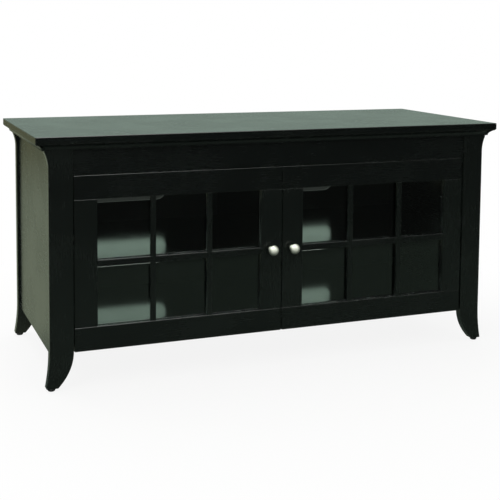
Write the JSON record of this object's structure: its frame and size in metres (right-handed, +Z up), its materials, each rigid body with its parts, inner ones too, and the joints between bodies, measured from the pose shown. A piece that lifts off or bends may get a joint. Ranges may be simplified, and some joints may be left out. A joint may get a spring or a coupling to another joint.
{
  "type": "media cabinet",
  "caption": "Low black-lacquered media cabinet with divided-light glass doors, adjustable shelves, cable slots in the back and flared posts on sabre feet.",
  "frame": {"origin": "bottom centre of the whole cabinet, on the floor", "axes": "+X to the right seen from the front, +Y to the back, +Z up; the doors face -Y"},
  "size_m": [1.219, 0.508, 0.593],
  "materials": {
    "top_lacquer": "satin black lacquer over wood, a little worn and dusty",
    "case_lacquer": "satin black lacquer over wood",
    "side_lacquer": "satin black lacquer over wood-veneered board",
    "door_lacquer": "satin black lacquer over wood, edges lightly rubbed",
    "inner_board": "black laminate on particle board",
    "hardboard": "painted hardboard, smooth in front and matt behind",
    "pane_glass": "clear float glass with a faint green tint",
    "bead_plastic": "black extruded glazing bead",
    "knob_nickel": "satin nickel plate",
    "hinge_nickel": "nickel-plated pressed steel",
    "strike_steel": "zinc-plated steel",
    "plated_pin": "nickel-plated steel",
    "catch_plastic": "black moulded plastic",
    "glide_plastic": "black moulded polyethylene"
  },
  "bodies": {
    "case": {"back_panel": "hardboard", "bottom_board": "inner_board", "centre_partition": "inner_board", "cove_moulding_front": "case_lacquer", "cove_moulding_left": "case_lacquer", "cove_moulding_right": "case_lacquer", "frieze_rail": "case_lacquer", "glide_front_left": "glide_plastic", "glide_front_right": "glide_plastic", "glide_rear_left": "glide_plastic", "glide_rear_right": "glide_plastic", "hinge_arm_left_lower": "hinge_nickel", "hinge_arm_left_upper": "hinge_nickel", "hinge_arm_right_lower": "hinge_nickel", "hinge_arm_right_upper": "hinge_nickel", "magnetic_catch": "catch_plastic", "post_front_left": "case_lacquer", "post_front_right": "case_lacquer", "post_rear_left": "case_lacquer", "post_rear_right": "case_lacquer", "shelf_left": "inner_board", "shelf_pin_left_inner_front": "plated_pin", "shelf_pin_left_inner_rear": "plated_pin", "shelf_pin_left_outer_front": "plated_pin", "shelf_pin_left_outer_rear": "plated_pin", "shelf_pin_right_inner_front": "plated_pin", "shelf_pin_right_inner_rear": "plated_pin", "shelf_pin_right_outer_front": "plated_pin", "shelf_pin_right_outer_rear": "plated_pin", "shelf_right": "inner_board", "side_panel_left": "side_lacquer", "side_panel_right": "side_lacquer", "top_panel": "top_lacquer"},
    "left_door": {"door_left_bottom_rail": "door_lacquer", "door_left_glass": "pane_glass", "door_left_glass_bead": "bead_plastic", "door_left_hinge_cup_lower": "hinge_nickel", "door_left_hinge_cup_upper": "hinge_nickel", "door_left_hinge_stile": "door_lacquer", "door_left_knob": "knob_nickel", "door_left_lock_stile": "door_lacquer", "door_left_muntin_horizontal": "door_lacquer", "door_left_muntin_vertical_inner": "door_lacquer", "door_left_muntin_vertical_outer": "door_lacquer", "door_left_strike_plate": "strike_steel", "door_left_top_rail": "door_lacquer"},
    "right_door": {"door_right_bottom_rail": "door_lacquer", "door_right_glass": "pane_glass", "door_right_glass_bead": "bead_plastic", "door_right_hinge_cup_lower": "hinge_nickel", "door_right_hinge_cup_upper": "hinge_nickel", "door_right_hinge_stile": "door_lacquer", "door_right_knob": "knob_nickel", "door_right_lock_stile": "door_lacquer", "door_right_muntin_horizontal": "door_lacquer", "door_right_muntin_vertical_inner": "door_lacquer", "door_right_muntin_vertical_outer": "door_lacquer", "door_right_strike_plate": "strike_steel", "door_right_top_rail": "door_lacquer"}
  },
  "joints": [
    {"name": "left_door_hinge", "type": "hinge", "parent": "case", "child": "left_door", "pos_m": [-0.521, -0.2335, 0.2935], "axis": [0, 0, -1], "range_deg": [0, 105]},
    {"name": "right_door_hinge", "type": "hinge", "parent": "case", "child": "right_door", "pos_m": [0.521, -0.2335, 0.2935], "axis": [0, 0, 1], "range_deg": [0, 105]}
  ]
}
